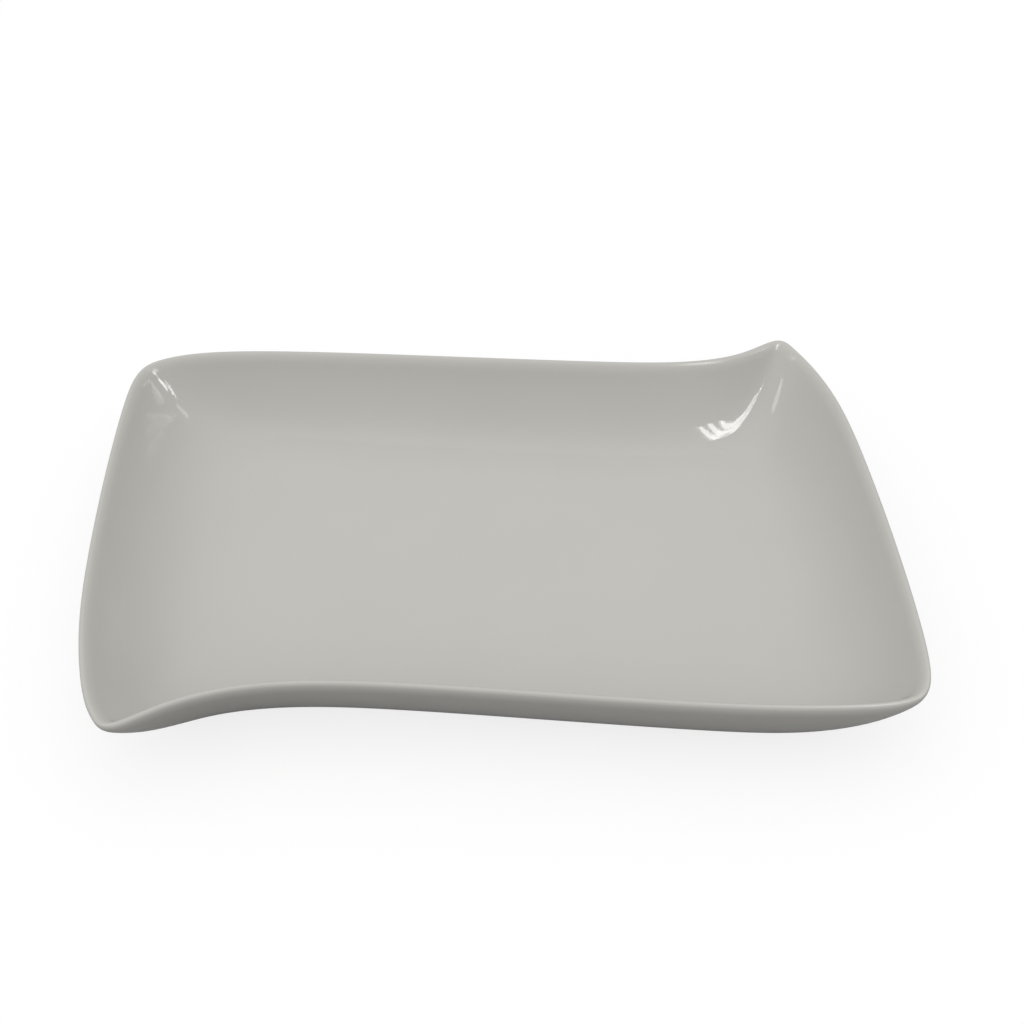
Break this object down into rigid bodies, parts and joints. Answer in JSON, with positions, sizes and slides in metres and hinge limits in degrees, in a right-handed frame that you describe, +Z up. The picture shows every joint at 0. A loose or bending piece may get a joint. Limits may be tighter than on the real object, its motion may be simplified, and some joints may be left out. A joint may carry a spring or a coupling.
{
  "type": "rectangular platter",
  "caption": "Rectangular serving platter in glazed porcelain, with steep curved walls, a waved rim, two drawn-out corners, two rounded corners and a bare foot ring.",
  "frame": {"origin": "on the table plane, under the middle of the platter", "axes": "+X along the platter's length, +Y across it, +Z up out of the well"},
  "size_m": [0.3702, 0.2498, 0.0479],
  "materials": {
    "porcelain": "fired, unglazed, fine-grained",
    "bare_foot": "fired, ground flat, matt",
    "glaze": "clear gloss glaze over warm off-white"
  },
  "bodies": {
    "root": {"porcelain_body": "porcelain", "foot_ring": "bare_foot", "glaze_coat": "glaze", "base_glaze": "glaze"}
  },
  "joints": []
}
